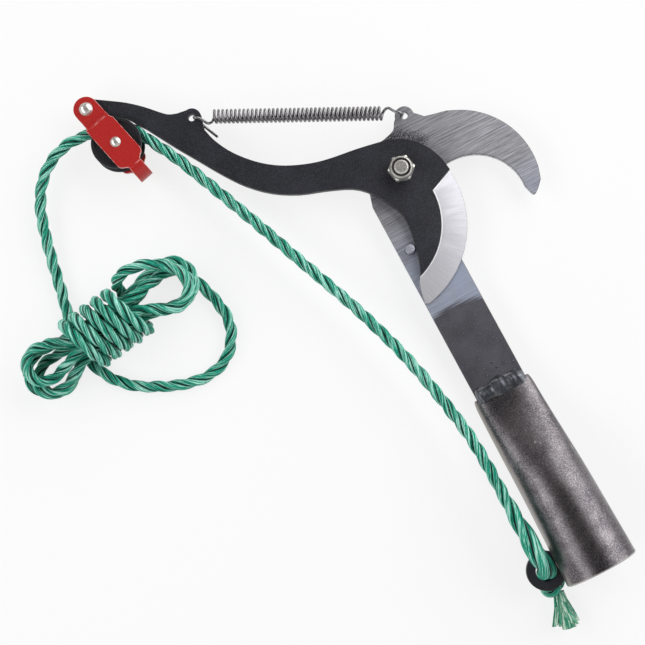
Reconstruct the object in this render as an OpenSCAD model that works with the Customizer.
// Rope-operated tree pruner head with a pole socket, lying on its back.
// Millimetres. The origin is the centre of the socket's mouth, on the pole's axis.
// +Y runs up the pole to the cutting head, +X to the hook's side, +Z to the front.

/* [Socket] */
// Outside diameter of the socket at its mouth
mouth_od = 40; // [36:0.5:56]
// Wall of the rolled socket
socket_wall = 2; // [1.4:0.1:3]
// Length of the socket from its mouth to the weld
socket_len = 108; // [92:1:150]
// Straight length of the pole bore behind the mouth
bore_len = 30; // [16:1:44]
// Length of the end that is pressed onto the shank
press_len = 58; // [46:1:62]
// Width of the pressed end
end_w = 34; // [33:0.5:40]

/* [Plates] */
// Thickness of the hook plate
plate_t = 4; // [3:0.1:6]
// Thickness of the cutting lever
lever_t = 4; // [3:0.1:6]
// Width of the straight shank
shank_w = 29; // [26:0.5:30]
// Length of shank held inside the pressed end
tail_in = 8; // [6:1:12]
// Sideways place of the pivot
pivot_x = 8.5; // [6:0.5:11]
// Height of the pivot above the socket's mouth
pivot_y = 237; // [225:1:260]
// Diameter of the two spring holes
spring_hole_d = 4; // [3.4:0.1:5]
// Width of the ground bevel on the blade
bevel_w = 14; // [8:0.5:15]

/* [Pivot] */
// Diameter of the pivot bolt
bolt_d = 8; // [6:0.5:9]
// Width across the flats of bolt head and nut
bolt_af = 13; // [12:0.5:15]
// Height of the bolt head
head_h = 5.3; // [4:0.1:7]
// Height of the lock nut with its collar
nut_h = 8; // [6.5:0.1:10]
// Diameter of the stop pin
stop_d = 5; // [4:0.1:5.4]

/* [Bracket and pulley] */
// Distance from the bracket's rivet to the pulley's axle
bracket_len = 26; // [24:0.5:30]
// Thickness of the bracket's strap
strap_t = 1.8; // [1.2:0.1:2.4]
// Width of the bracket beside the pulley
bracket_w = 16.2; // [14:0.2:20]
// Diameter of the bracket's rivet
rivet_d = 5; // [4:0.1:6]
// Diameter of the pulley's axle
axle_d = 5; // [4:0.1:6]
// Outside diameter of the pulley
pulley_d = 28; // [26:0.5:29]
// Width of the pulley
pulley_w = 12.6; // [11:0.1:14]

/* [Spring] */
// Outside diameter of the return spring
spring_od = 8.2; // [7:0.1:10]
// Wire of the return spring
spring_wire = 1.2; // [0.9:0.1:1.3]
// Number of curls
spring_curls = 40; // [30:1:44]
// Rise of the wire in one curl
spring_pitch = 2.25; // [2:0.05:2.4]

/* [Rope] */
// Diameter of the rope
rope_d = 6; // [5:0.1:6.3]
// Outside radius of the rope's eye
eye_r = 10.5; // [9.5:0.5:12]
// Hole of the rope's eye
eye_hole_d = 11; // [8:0.5:12]
// Thickness of the rope's eye
eye_t = 4; // [3:0.1:5]

/* [Hidden] */
$fn = 48;

// Clearances
seat = 0.02;        // fixed pin in its hole, radial
running = 0.05;     // turning pin in its hole, radial
face_gap = 0.2;     // flat faces that slide over each other
free_gap = 0.3;     // curved faces that pass each other
past = 1;           // how far a cutter runs past a face

// Heights
floor_z = -mouth_od / 2;
plate_z = floor_z + head_h;
lever_z = plate_z + plate_t + face_gap;
lever_mid = lever_z + lever_t / 2;
nut_z = lever_z + lever_t + face_gap;

// Places on the plates
pivot = [pivot_x, pivot_y];
hook_ear = pivot + [16, 26.5];
lever_ear = pivot + [-87, 80];
rivet = pivot + [-136, 111.5];
bracket_turn = -76;
axle = rivet + bracket_len * [cos(bracket_turn), sin(bracket_turn)];
ear_wall = 3.2;
ear_r = spring_hole_d / 2 + ear_wall;

// Points on a circle from one angle to another
function arc(c, r, a0, a1, n = 12) =
    [for (i = [0:n]) let (a = a0 + (a1 - a0) * i / n) c + r * [cos(a), sin(a)]];

// Smooth curve through points, with its ends left off
function curve(p, n = 4) = [
    for (i = [1:len(p) - 3], j = [0:n - 1])
        let (t = j / n, a = p[i - 1], b = p[i], c = p[i + 1], d = p[i + 2])
        b + t * (c - a) / 2 + t * t * (2 * a - 5 * b + 4 * c - d) / 2
            + t * t * t * (3 * b - a - 3 * c + d) / 2
];
// The same with its first and last points kept
function through(p, n = 4) =
    concat(curve(concat([2 * p[0] - p[1]], p, [2 * p[len(p) - 1] - p[len(p) - 2]]), n), [p[len(p) - 1]]);

function shifted(p, by) = [for (q = p) q + by];
function unit(v) = v / norm(v);
function smooth(x) = let (t = min(1, max(0, x))) t * t * (3 - 2 * t);

// One unbroken tube of round section along a path
module tube(path, r, sides) {
    n = len(path);
    along = [for (i = [0:n - 1]) unit(path[min(i + 1, n - 1)] - path[max(i - 1, 0)])];
    side = abs(along[0].z) < 0.9 ? cross(along[0], [0, 0, 1]) : cross(along[0], [0, 1, 0]);
    across = [
        for (i = 0, s = unit(side); i < n;
            i = i + 1, s = i < n ? unit(s - (s * along[i]) * along[i]) : s) s
    ];
    points = [
        for (i = [0:n - 1], j = [0:sides - 1])
            let (a = 360 * j / sides)
            path[i] + r * (cos(a) * across[i] + sin(a) * cross(along[i], across[i]))
    ];
    walls = [
        for (i = [0:n - 2], j = [0:sides - 1])
            let (k = (j + 1) % sides, a = i * sides, b = a + sides)
            each [[a + j, b + j, b + k], [a + j, b + k, a + k]]
    ];
    ends = [for (j = [1:sides - 2], b = [(n - 1) * sides])
        each [[0, j, j + 1], [b, b + j + 1, b + j]]];
    polyhedron(points, concat(walls, ends), convexity = 10);
}

// Least distance between far stretches of a path's own tube
function self_gap(path, d, skip) = min([
    for (i = [0:len(path) - 1 - skip], j = [i + skip:len(path) - 1]) norm(path[i] - path[j])
]) - d;

// Domed rivet head that stands on z = 0
module dome(d, h) {
    r = (d * d / 4 + h * h) / (2 * h);
    half = asin(d / 2 / r);
    rotate_extrude() polygon(concat([[0, 0]], arc([0, h - r], r, 90 - half, 90)));
}

// Shank, head and hook in one outline. The hook's two edges are arcs
hook_outer = [pivot + [23.5, -24], 44];
hook_inner = [pivot + [27, -36], 28.3];
shank_low = socket_len - tail_in;
function hook_outline() = concat(
    [[-shank_w / 2, shank_low], [shank_w / 2, shank_low]],
    through(concat([[shank_w / 2, pivot_y - 44], [shank_w / 2 + 1.5, pivot_y - 30]],
        shifted([[11, -18], [17, -11.5]], pivot))),
    arc(hook_inner[0], hook_inner[1], 104, -6, 20),
    through(shifted([[56.3, -43.4], [57.6, -45.2], [60.5, -43.6], [64.5, -39.5]], pivot)),
    arc(hook_outer[0], hook_outer[1], -12, 64, 20),
    through(shifted([[37.5, 18], [30, 19.8], [25.5, 21]], pivot)),
    arc(hook_ear, ear_r, -10, 170, 14),
    through(shifted([[9.3, 25.8], [6.5, 22], [0, 20]], pivot)),
    arc(pivot, 20, 100, 150, 8),
    [[-shank_w / 2, pivot_y - 10]]
);

stop_pin_at = pivot + [-16.3, -40.5];

module hook_blade() color("lightslategray") difference() {
    translate([0, 0, plate_z]) linear_extrude(plate_t) polygon(hook_outline());
    translate([pivot.x, pivot.y, plate_z - past])
        cylinder(d = bolt_d + 2 * seat, h = plate_t + 2 * past);
    translate([hook_ear.x, hook_ear.y, plate_z - past])
        cylinder(d = spring_hole_d, h = plate_t + 2 * past);
    translate([stop_pin_at.x, stop_pin_at.y, plate_z - past])
        cylinder(d = stop_d + 2 * seat, h = plate_t + 2 * past);
}

// Lever and blade in one outline, from the blade's heel clockwise
blade_arc = [pivot + [-30.4, -18], 54];
rope_r = pulley_d / 2 - 2.5;         // radius at which the rope's middle runs on the pulley
leave = 84;                          // angle at which the rope leaves the pulley
relief_r = rope_r + rope_d / 2 + 0.6;
tip_r = 6.5;
function lever_outline() = concat(
    arc(blade_arc[0], blade_arc[1], 6, -80, 24),
    through(shifted([[-23, -70], [-20.8, -60], [-17.3, -54], [-14.6, -46.5], [-12, -35],
        [-11, -24], [-14, -15], [-20, -4.5], [-28, 3.2], [-41.5, 9.3], [-55, 14.3],
        [-67.8, 22], [-78.5, 32.2], [-87, 44], [-95.5, 58], [-102.5, 69.5], [-112, 86.5]], pivot), 3),
    arc(axle, relief_r, 20, leave, 10),
    arc(rivet, tip_r, 230, 70, 10),
    through(shifted([[-123.4, 110.6], [-115, 104.7], [-107.5, 98], [-101, 91], [-97.4, 87.7],
        [-93.2, 86]], pivot), 3),
    arc(lever_ear, ear_r, 100, -20, 10),
    through(shifted([[-84, 71], [-82, 63.3], [-77.7, 54.4], [-71.8, 46.4], [-64.9, 39.4],
        [-57, 33.6], [-48.3, 29.2], [-39, 25.8], [-29.6, 23.7], [-15, 21.5], [0.8, 18.1],
        [8.7, 14.8], [14.5, 10], [19.4, 3], [22.4, -5]], pivot), 3)
);

module cutting_lever() color("darkslategray") difference() {
    translate([0, 0, lever_z]) linear_extrude(lever_t) polygon(lever_outline());
    translate([pivot.x, pivot.y, lever_z - past])
        cylinder(d = bolt_d + 2 * running, h = lever_t + 2 * past);
    translate([rivet.x, rivet.y, lever_z - past])
        cylinder(d = rivet_d + 2 * running, h = lever_t + 2 * past);
    translate([lever_ear.x, lever_ear.y, lever_z - past])
        cylinder(d = spring_hole_d, h = lever_t + 2 * past);
    bevel_cut();
}

// The bevel is a cone round the cutting edge's own centre. It runs out along a slanting line near the hub
edge_land = 0.6;
run_out = 23;
module bevel_cut() {
    r = blade_arc[1];
    translate([blade_arc[0].x, blade_arc[0].y, lever_z]) intersection() {
        rotate(-86) rotate_extrude(angle = 94)
            polygon([[r - bevel_w, lever_t], [r + past, edge_land * (1 - past / bevel_w)],
                [r + past, lever_t + past], [r - bevel_w, lever_t + past]]);
        translate([r - bevel_w, 0, -past]) rotate(run_out) translate([-2 * r, -3 * r, 0])
            cube([4 * r, 3 * r, lever_t + 3 * past]);
    }
}

// Socket: straight and tapered stretches are turned, then it is pressed flat round the shank's tail
cone_len = socket_len - press_len;
mouth_r = mouth_od / 2;
neck_r = mouth_r - (mouth_r - end_w / 2) * cone_len / socket_len;
bore_r = mouth_r - socket_wall;
neck_bore_r = neck_r - socket_wall;
end_h = plate_t + 2 * socket_wall + 6;
end_z = plate_z + plate_t / 2 + 0.5;
flat_from = shank_low - 2;
step = 0.25;                          // how much less a joining section is than its neighbour
thin = 0.01;

module along_y() rotate([-90, 0, 0]) children();
module section(y, w, h, z, len = thin) translate([0, y, z]) along_y() scale([w, h, 1])
    cylinder(d = 1, h = len, $fn = 32);

module socket_outer() {
    along_y() cylinder(r1 = mouth_r, r2 = neck_r, h = cone_len);
    hull() {
        section(cone_len - past, 2 * (neck_r - step), 2 * (neck_r - step), 0);
        section(flat_from, end_w - 2 * step, end_h - 2 * step, end_z);
    }
    section(flat_from - past, end_w, end_h, end_z, socket_len - flat_from + past);
}

module pole_socket() color("dimgray") difference() {
    socket_outer();
    translate([0, -past, 0]) along_y() cylinder(r = bore_r, h = bore_len + past);
    translate([0, bore_len, 0]) along_y()
        cylinder(r1 = bore_r, r2 = neck_bore_r, h = cone_len - bore_len);
    hull() {
        section(cone_len - past, 2 * (neck_bore_r - step), 2 * (neck_bore_r - step), 0);
        section(flat_from + past, end_w - 2 * socket_wall - 4, end_h - 3 * socket_wall, end_z);
    }
    translate([-shank_w / 2 - seat, shank_low - past / 2, plate_z - seat])
        cube([shank_w + 2 * seat, tail_in + 2 * past, plate_t + 2 * seat]);
}

// Weld beads lie in the corner between the shank's faces and the socket's end
bead_len = 5;
bead_h = 4;
module bead() rotate([90, 0, 90]) linear_extrude(shank_w - 1, center = true)
    polygon(concat([[0, 0]], through([[bead_len, 0], [bead_len - 0.6, 1.8], [bead_len / 2, bead_h - 0.7],
        [0, bead_h]])));

module weld_front() color("slategray")
    translate([0, socket_len, plate_z + plate_t]) bead();

module weld_back() color("slategray")
    translate([0, socket_len, plate_z]) mirror([0, 0, 1]) bead();

// Rope eye: a ring plate against the socket's side near its mouth
eye_at = [-25.5, 12];
eye_z = floor_z + 9;
module rope_eye() color("dimgray") difference() {
    translate([eye_at.x, eye_at.y, eye_z]) cylinder(r = eye_r, h = eye_t);
    translate([eye_at.x, eye_at.y, eye_z - past]) cylinder(d = eye_hole_d, h = eye_t + 2 * past);
    along_y() cylinder(r1 = mouth_r + seat, r2 = neck_r + seat, h = cone_len);
}

eye_bead_r = 2;
eye_bead_len = 12;
module eye_weld() color("slategray") difference() {
    translate([-sqrt(pow(mouth_r, 2) - pow(eye_z, 2)), eye_at.y - eye_bead_len / 2, eye_z])
        along_y() cylinder(r = eye_bead_r, h = eye_bead_len);
    translate([-2 * mouth_r, -past, eye_z]) cube([2 * mouth_r, 3 * eye_bead_len, eye_t]);
    along_y() cylinder(r1 = mouth_r + seat, r2 = neck_r + seat, h = cone_len);
}

// Pivot bolt, its head on the floor and its end above the nut
bolt_over = 0.8;
bolt_chamfer = 0.8;
module hex(af, h) rotate(12) cylinder(d = af / cos(30), h = h, $fn = 6);

bolt_top = nut_z + nut_h + bolt_over;
module pivot_bolt() color("silver") translate([pivot.x, pivot.y, 0]) {
    translate([0, 0, floor_z]) hex(bolt_af, head_h);
    rotate_extrude() polygon([[0, plate_z - past], [bolt_d / 2, plate_z - past],
        [bolt_d / 2, bolt_top - bolt_chamfer], [bolt_d / 2 - bolt_chamfer, bolt_top], [0, bolt_top]]);
}

collar_h = 2.6;
collar_wall = 1.1;
collar_d = bolt_af - 0.8;
module lock_nut() color("gainsboro") translate([pivot.x, pivot.y, nut_z]) difference() {
    union() {
        hex(bolt_af, nut_h - collar_h);
        translate([0, 0, nut_h - collar_h - past]) cylinder(d = collar_d, h = collar_h + past);
    }
    translate([0, 0, -past]) cylinder(d = bolt_d + 2 * seat, h = nut_h + 2 * past);
    translate([0, 0, nut_h - collar_h]) cylinder(d = collar_d - 2 * collar_wall, h = collar_h + past);
}

module nut_insert() color("black") translate([pivot.x, pivot.y, nut_z + nut_h - collar_h]) difference() {
    cylinder(d = collar_d - 2 * collar_wall - 2 * seat, h = collar_h - 0.5);
    translate([0, 0, -past]) cylinder(d = bolt_d + 2 * seat, h = collar_h + 2 * past);
}

stop_over = 1.5;
module stop_pin() color("silver") translate([stop_pin_at.x, stop_pin_at.y, plate_z])
    cylinder(d = stop_d, h = plate_t + face_gap + lever_t + stop_over);

// Bracket in its own frame: the rivet at the origin, +X to the pulley, the lever's middle at z = 0
lobe_r = 7;
joggle_len = 3;
joggle_x = bracket_len - pulley_d / 2 - joggle_len - 1;
step_x = bracket_len - 13.4;
cheek_x = bracket_len + 10.5;
tab_w = 8;
tab_from = cheek_x + 5;
bend_x = bracket_len + 16;
narrow_in = lever_t / 2 + free_gap;
wide_in = pulley_w / 2 + free_gap;
narrow_out = narrow_in + strap_t;
wide_out = wide_in + strap_t;
function half_side(narrow, wide, lag) = [
    [-lobe_r - past, narrow], [joggle_x + lag, narrow], [joggle_x + joggle_len + lag, wide], [bend_x, wide]
];
function flipped(p) = [for (i = [len(p) - 1:-1:0]) [p[i].x, -p[i].y]];
function strap_side() = let (
    out = half_side(narrow_out, wide_out, 0), in = half_side(narrow_in, wide_in, strap_t / 3)
) concat(out, arc([bend_x, 0], wide_out, 80, -80, 14), flipped(out),
    backward(flipped(in)), arc([bend_x, 0], wide_in, -80, 80, 14), backward(in));
function backward(p) = [for (i = [len(p) - 1:-1:0]) p[i]];
function plan_half(from, to) = let (w = bracket_w / 2) concat(
    arc([0, 0], lobe_r, 180, 90, 10),
    [[from, lobe_r], [to, w], [cheek_x, w]],
    arc([cheek_x, w - 4], 4, 80, 20, 4),
    [[tab_from, tab_w / 2], [bend_x + wide_out + past, tab_w / 2]]
);
function strap_plan() = concat(plan_half(step_x, step_x + 2),
    flipped(plan_half(joggle_x, joggle_x + joggle_len)));

module at_bracket() translate([rivet.x, rivet.y, lever_mid]) rotate(bracket_turn) children();

module pulley_bracket() color("red") at_bracket() difference() {
    intersection() {
        rotate([90, 0, 0]) linear_extrude(bracket_w + 2 * past, center = true) polygon(strap_side());
        linear_extrude(2 * wide_out + 2 * past, center = true) polygon(strap_plan());
    }
    cylinder(d = rivet_d + 2 * seat, h = 4 * narrow_out, center = true);
    translate([bracket_len, 0, 0]) cylinder(d = axle_d + 2 * seat, h = 4 * wide_out, center = true);
}

rivet_head_d = 7.7;
rivet_head_h = 2.4;
axle_head_d = 5.8;
axle_head_h = 1.6;
foot_h = lever_mid - floor_z - wide_out;

module bracket_rivet() color("silver") at_bracket() {
    cylinder(d = rivet_d, h = 2 * narrow_out + 2 * thin, center = true);
    translate([0, 0, narrow_out]) dome(rivet_head_d, rivet_head_h);
    translate([0, 0, -narrow_out]) mirror([0, 0, 1]) dome(rivet_head_d, rivet_head_h);
}

module pulley_axle() color("silver") at_bracket() translate([bracket_len, 0, 0]) {
    cylinder(d = axle_d, h = 2 * wide_out + 2 * thin, center = true);
    translate([0, 0, wide_out]) dome(axle_head_d, axle_head_h);
    translate([0, 0, -wide_out]) mirror([0, 0, 1]) dome(rivet_head_d, foot_h);
}

bush_wall = 1.2;
module pulley_bush() color("gray") at_bracket() translate([bracket_len, 0, 0]) difference() {
    cylinder(d = axle_d + 2 * bush_wall, h = 2 * wide_in - 2 * seat, center = true);
    cylinder(d = axle_d + 2 * seat, h = 2 * wide_in + past, center = true);
}

rim_t = 1.5;
groove_foot = rope_d / 2 + 0.2;
module pulley_wheel() color("black") at_bracket() translate([bracket_len, 0, 0]) rotate_extrude() {
    bore = axle_d / 2 + bush_wall + running;
    root = rope_r - rope_d / 2 - free_gap;
    h = pulley_w / 2;
    polygon([[bore, -h], [pulley_d / 2, -h], [pulley_d / 2, rim_t - h], [root, -groove_foot],
        [root, groove_foot], [pulley_d / 2, h - rim_t], [pulley_d / 2, h], [bore, h]]);
}

// Spring: hooks and curls in one wire. Its own x runs from the lever's ear to the hook's ear
spring_z = lever_z + lever_t + 1.5;
spring_way = unit(hook_ear - lever_ear);
spring_span = norm(hook_ear - lever_ear);
coil_r = (spring_od - spring_wire) / 2;
coil_from = (spring_span - spring_curls * spring_pitch) / 2;
coil_to = spring_span - coil_from;
hook_in = spring_hole_d / 2 - spring_wire / 2 - 0.1;
rings = 8;
function on_spring(p) = let (q = lever_ear + p.x * spring_way + p.y * [-spring_way.y, spring_way.x])
    [q.x, q.y, p.z];
function coil_point(i) = let (a = -90 + 360 * i / rings)
    [coil_from + spring_pitch * i / rings, coil_r * cos(a), spring_z + coil_r * sin(a)];
function spring_path() = [for (p = concat(
    [[hook_in + 4, -1, lever_z - 3], [hook_in + 1.5, -0.4, lever_z - 2.4], [hook_in, 0, lever_z - 1],
        [hook_in, 0, lever_z + lever_t / 2], [hook_in, 0, lever_z + lever_t],
        [hook_in + 1, -0.3, lever_z + lever_t + 1.3], [hook_in + 3.5, -1, spring_z - coil_r + 3],
        [coil_from - 2.6, -coil_r, spring_z - coil_r + 1.4],
        [coil_from - 1.2, -2.4, spring_z - coil_r + 0.4]],
    [for (i = [0:spring_curls * rings]) coil_point(i)],
    [[coil_to + 1.2, 2.4, spring_z - coil_r + 0.4], [coil_to + 2.6, coil_r, spring_z - coil_r + 1.4],
        [spring_span - hook_in - 3.5, 1, spring_z - coil_r + 3],
        [spring_span - hook_in - 1, 0.3, lever_z + lever_t + 1.3],
        [spring_span - hook_in, 0, lever_z + lever_t], [spring_span - hook_in, 0, plate_z + plate_t],
        [spring_span - hook_in, 0, plate_z - 0.5]]
)) on_spring(p)];

module return_spring() color("silver") tube(spring_path(), spring_wire / 2, 6);

// Knot behind the eye and the frayed end of the rope
knot_r = 7.5;
knot_at = eye_at - [0.6, 5];
knot_top = eye_z - face_gap;
knot_h = knot_top - floor_z;
module rope_knot() color("seagreen") translate([knot_at.x, knot_at.y, floor_z]) rotate_extrude()
    polygon(concat([[0, 0]], through([[4, 0], [knot_r - 1, knot_h * 0.2], [knot_r, knot_h * 0.5],
        [knot_r - 0.2, knot_h * 0.8], [knot_r - 1.2, knot_h]]), [[0, knot_h]]));

fray_from = [knot_at.x + 1.5, knot_at.y - knot_r - 3 * free_gap, floor_z + 4];
fray_len = 21;
fray_r = 5.5;
module rope_frayed_end() color("mediumaquamarine") translate(fray_from) rotate([90, 0, -16])
    rotate([-5, 0, 0]) cylinder(d1 = rope_d, r2 = fray_r, h = fray_len);

// Rope from the eye to the pulley, and on round the pulley
run_route = [
    [-25.6, 13.6, 9.3], [-25.8, 18, 13.7], [-26.2, 24, 15.3], [-26.9, 38, 15.5], [-27.1, 52, 15],
    [-27.1, 66, 14], [-27.2, 80, 13], [-28, 94, 11.6], [-30, 108, 10.3], [-32.4, 122, 9], [-35.2, 136, 8],
    [-38.7, 150, 7], [-42.9, 164, 6], [-47.5, 178, 5], [-52.6, 192, 4], [-58, 206, 3.2], [-63.4, 220, 2.4],
    [-68.8, 234, 1.7], [-74.2, 248, 1.1], [-79.8, 262, 0.6], [-85.4, 276, 0.3], [-91.2, 290, 0.1],
    [-96, 301, 0], [-103.2, 314.4, 0]
];
function on_pulley(a0, a1, n) = [for (q = arc(axle, rope_r, a0, a1, n)) [q.x, q.y, lever_mid]];
module rope_run() color("seagreen") tube(concat(
    [[eye_at.x, eye_at.y, knot_top], [eye_at.x, eye_at.y, knot_top + rope_d]],
    shifted(run_route, [0, 0, lever_mid]), on_pulley(29, leave, 5)
), rope_d / 2, 10);

// Rope from the pulley down to the floor and under the hank
tail_route = [
    [-133, 336.2, 11.5], [-146, 337, 11], [-158, 333, 10], [-168, 325, 8.5], [-175.5, 313, 7],
    [-180, 299, 5.5], [-183.5, 284, 4], [-186.5, 268, 3], [-189.5, 253, 3], [-191, 238, 3],
    [-189.5, 224, 3]
];
module rope_tail() color("seagreen") tube(concat(
    [on_pulley(leave, leave, 1)[0]], shifted(tail_route, [0, 0, floor_z])
), rope_d / 2, 10);

// Open loop that joins the tail to the hank
slack_route = [
    [-189.5, 224, 3], [-184, 212.5, 3], [-175, 203, 3], [-163, 196, 3], [-149.5, 190.5, 3],
    [-136, 188.5, 3], [-124, 192, 3], [-116, 200.5, 3], [-112.5, 211, 3], [-113.5, 221.5, 3.1],
    [-116.3, 232, 3.2]
];
module rope_slack_loop() color("seagreen") tube(concat(
    shifted(slack_route, [0, 0, floor_z]), [hank_at(hank_from)]
), rope_d / 2, 10);

// Hank: three loops that lie on each other, drawn in at the waist, and a last one on top at one end.
// One turn is 1: a fold, a run of the rest of the half, then the same turned half round
hank_mid = [-170.5, 236];
hank_turn = 8;
fold_share = 0.2;
run_share = 0.5 - fold_share;
fold_x = [40.5, 40.5, 40.5, 37.5];   // middle of each loop's fold, along the hank
fold_y = [2.7, 0, -3.8, -3.8];       // the same across the hank
fold_r = [9.4, 12.2, 9.4, 11.2];     // radius of each loop's fold
waist_y = [3.3, 6.6, 3.3, 3.3];      // half the width between each loop's runs at the waist
waist_half = 15;
loop_rise = rope_d + 0.9;
hank_from = fold_share / 2;
hank_to = 3.125;
wrap_r = 14.5;
hank_z = floor_z + rope_d / 2 + wrap_r;
drop_from = 21.5;
loop_rings = 24;
function fold_at(a, fold) = [fold_x[fold], fold_y[fold]] + fold_r[fold] * [cos(a), sin(a)];
function run_at(x, fold, w) = let (end = fold_r[fold] + sign(x) * fold_y[fold])
    [x, w + (end - w) * smooth((abs(x) - waist_half) / (fold_x[fold] - waist_half))];
function hank_plan(f, fold, w) =
    f < fold_share ? fold_at(180 * f / fold_share - 90, fold) :
    f < 0.5 ? run_at(fold_x[fold] * (1 - 2 * (f - fold_share) / run_share), fold, w) :
    -hank_plan(f - 0.5, fold, w);
function hank_local(t) = let (
    loop = floor(t),
    fold = floor(t + run_share / 2),
    p = hank_plan(t - loop, fold, waist_y[loop]),
    run_z = hank_z + (loop - 1) * loop_rise,
    fold_z = floor_z + rope_d / 2 + 0.2 + fold * loop_rise,
    drop = smooth((abs(p.x) - drop_from) / (fold_x[fold] - drop_from))
) [p.x, p.y, run_z * (1 - drop) + fold_z * drop];
function placed(p) = [
    hank_mid.x + p.x * cos(hank_turn) - p.y * sin(hank_turn),
    hank_mid.y + p.x * sin(hank_turn) + p.y * cos(hank_turn), p.z
];
function hank_at(t) = placed(hank_local(t));
function hank_path() = let (n = round((hank_to - hank_from) * loop_rings))
    [for (i = [0:n]) hank_at(hank_from + (hank_to - hank_from) * i / n)];
module rope_hank() color("seagreen") tube(hank_path(), rope_d / 2, 6);

// Wraps: from the hank's last loop the rope crosses over to the waist and winds round it.
// Angles are counted from the top of the first turn, and the end is left beside the last one
wrap_from = 19.3;
wrap_pitch = rope_d + 1.1;
wrap_lean = 1.8;
wrap_first = 105;
wrap_last = 1915;
function wrap_at(a) =
    [wrap_from - wrap_pitch * a / 360 - wrap_lean * sin(a), wrap_r * sin(a), hank_z + wrap_r * cos(a)];
function bezier(a, b, c, d, n) = [for (i = [0:n]) let (t = i / n, s = 1 - t)
    s * s * s * a + 3 * s * s * t * b + 3 * s * t * t * c + t * t * t * d];
function wrap_path() = let (
    start = hank_local(hank_to), leave_way = unit(start - hank_local(hank_to - 0.002)),
    first = wrap_at(wrap_first), come_way = unit(wrap_at(wrap_first + 1) - first),
    n = round((wrap_last - wrap_first) / 360 * loop_rings)
) [for (p = concat(
    bezier(start, start + 18 * leave_way, first - 23 * come_way, first, 10),
    [for (i = [1:n]) wrap_at(wrap_first + (wrap_last - wrap_first) * i / n)]
)) placed(p)];
module rope_wraps() color("seagreen") tube(wrap_path(), rope_d / 2, 6);

echo(hank_gap = self_gap(hank_path(), rope_d, 6), wrap_gap = self_gap(wrap_path(), rope_d, 12),
    spring_gap = self_gap(spring_path(), spring_wire, 6));

hook_blade();
pole_socket();
weld_front();
weld_back();
rope_eye();
eye_weld();
pivot_bolt();
lock_nut();
nut_insert();
stop_pin();
return_spring();
cutting_lever();
pulley_bracket();
bracket_rivet();
pulley_axle();
pulley_bush();
pulley_wheel();
rope_knot();
rope_frayed_end();
rope_run();
rope_tail();
rope_slack_loop();
rope_hank();
rope_wraps();
